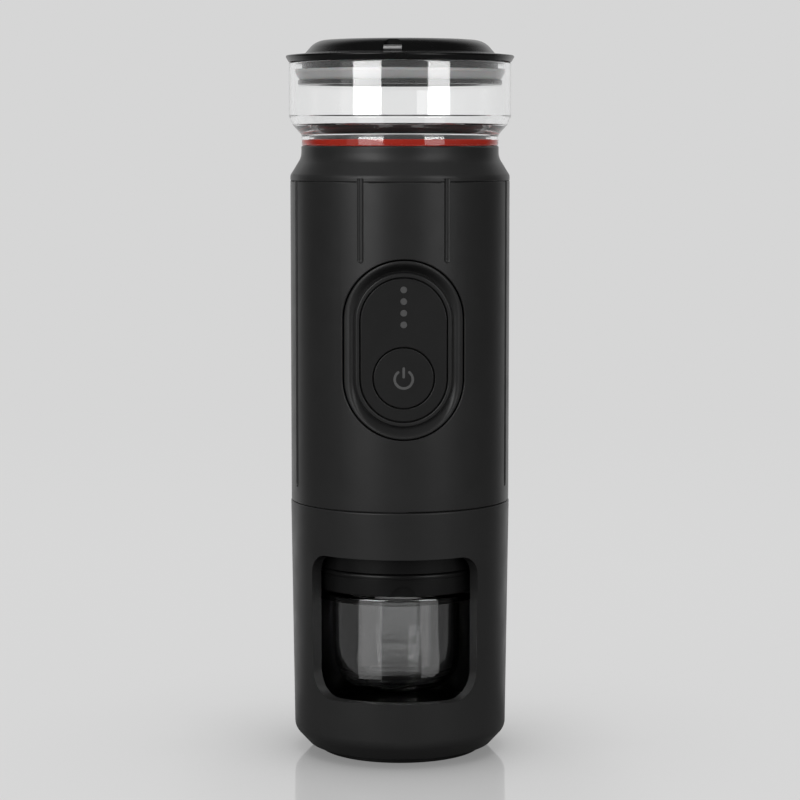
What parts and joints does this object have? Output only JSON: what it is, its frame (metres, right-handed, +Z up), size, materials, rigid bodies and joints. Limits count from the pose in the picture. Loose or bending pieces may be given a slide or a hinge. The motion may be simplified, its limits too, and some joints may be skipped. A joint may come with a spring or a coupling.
{
  "type": "portable espresso maker",
  "caption": "Battery-powered portable espresso maker with a glass water tank under a plug lid, a control panel, and a windowed lower shell that holds a double-walled glass.",
  "frame": {"origin": "centre of the foot's underside", "axes": "+Z up along the body's axis, -Y towards the control panel, +X to the right seen from the front"},
  "size_m": [0.0778, 0.0778, 0.2447],
  "materials": {
    "matte_black": "fine satin black",
    "panel_black": "smooth satin black",
    "clear_glass": "clear",
    "red_silicone": "matte red",
    "grey_silicone": "matte grey",
    "black_rubber": "matte",
    "bright_metal": "polished",
    "steel": "brushed",
    "aluminium": "machined",
    "brass": "turned",
    "frame_plastic": "moulded",
    "board_green": "solder mask",
    "light_grey": "diffusing",
    "cell_wrap": "shrink wrap",
    "hose_clear": "translucent"
  },
  "bodies": {
    "base": {"cup_shell": "matte_black", "foot_ring": "black_rubber", "cup_pad": "black_rubber"},
    "seal_ring": {"spigot_ring": "black_rubber"},
    "machine": {"base_ring": "frame_plastic", "body_sleeve": "matte_black", "neck_collar": "matte_black", "tank_gasket": "red_silicone", "panel_bezel": "matte_black", "panel_face": "panel_black", "battery_lights": "light_grey", "tact_switch": "frame_plastic", "control_board": "board_green", "inner_frame": "frame_plastic", "battery_cells": "cell_wrap", "motor_can": "steel", "motor_bushes": "brass", "pump_head": "frame_plastic", "inlet_hose": "hose_clear", "pressure_hose": "hose_clear", "check_valve": "brass", "boiler": "aluminium", "heater_band": "steel", "brew_head": "matte_black", "shower_screen": "steel", "brew_gasket": "black_rubber", "water_inlet": "frame_plastic", "inlet_strainer": "steel", "charge_board": "board_green", "charge_port": "steel", "chassis_screws": "steel"},
    "button": {"power_button": "panel_black", "switch_plunger": "frame_plastic"},
    "tank": {"water_tank": "clear_glass"},
    "lid": {"lid_cap": "panel_black", "lid_vent_lip": "bright_metal", "lid_seal": "grey_silicone", "lid_plug_ring": "panel_black"},
    "holder": {"basket_holder": "matte_black", "filter_basket": "steel", "spout": "frame_plastic"},
    "rotor": {"motor_rotor": "steel"},
    "flap": {"port_cover": "black_rubber"},
    "cup": {"glass_cup": "clear_glass"}
  },
  "joints": [
    {"name": "machine_lift", "type": "slide", "parent": "base", "child": "seal_ring", "axis": [0, 0, 1], "range_m": [0, 0.15]},
    {"name": "machine_turn", "type": "hinge", "parent": "seal_ring", "child": "machine", "pos_m": [0, 0, 0.0792], "axis": [0, 0, 1], "continuous": true},
    {"name": "cup_lift", "type": "slide", "parent": "base", "child": "cup", "axis": [0, 0, 1], "range_m": [0, 0.075]},
    {"name": "tank_lift", "type": "slide", "parent": "machine", "child": "tank", "axis": [0, 0, 1], "range_m": [0, 0.05]},
    {"name": "lid_lift", "type": "slide", "parent": "tank", "child": "lid", "axis": [0, 0, 1], "range_m": [0, 0.05]},
    {"name": "button_press", "type": "slide", "parent": "machine", "child": "button", "axis": [0, 1, 0], "range_m": [0, 0.0008], "stiffness_N_per_m": 400, "springref_m": -0.0005},
    {"name": "holder_turn", "type": "hinge", "parent": "machine", "child": "holder", "pos_m": [0, 0, 0.0655], "axis": [0, 0, 1], "range_deg": [-40, 0]},
    {"name": "motor_spin", "type": "hinge", "parent": "machine", "child": "rotor", "pos_m": [0, -0.008, 0.1317], "axis": [0, 0, 1], "continuous": true},
    {"name": "flap_open", "type": "hinge", "parent": "machine", "child": "flap", "pos_m": [0, 0.0366, 0.1062], "axis": [1, 0, 0], "range_deg": [0, 100]}
  ],
  "couplings": [
    {"joint": "cup_lift", "follows": "machine_lift", "ratio": 0.5}
  ]
}
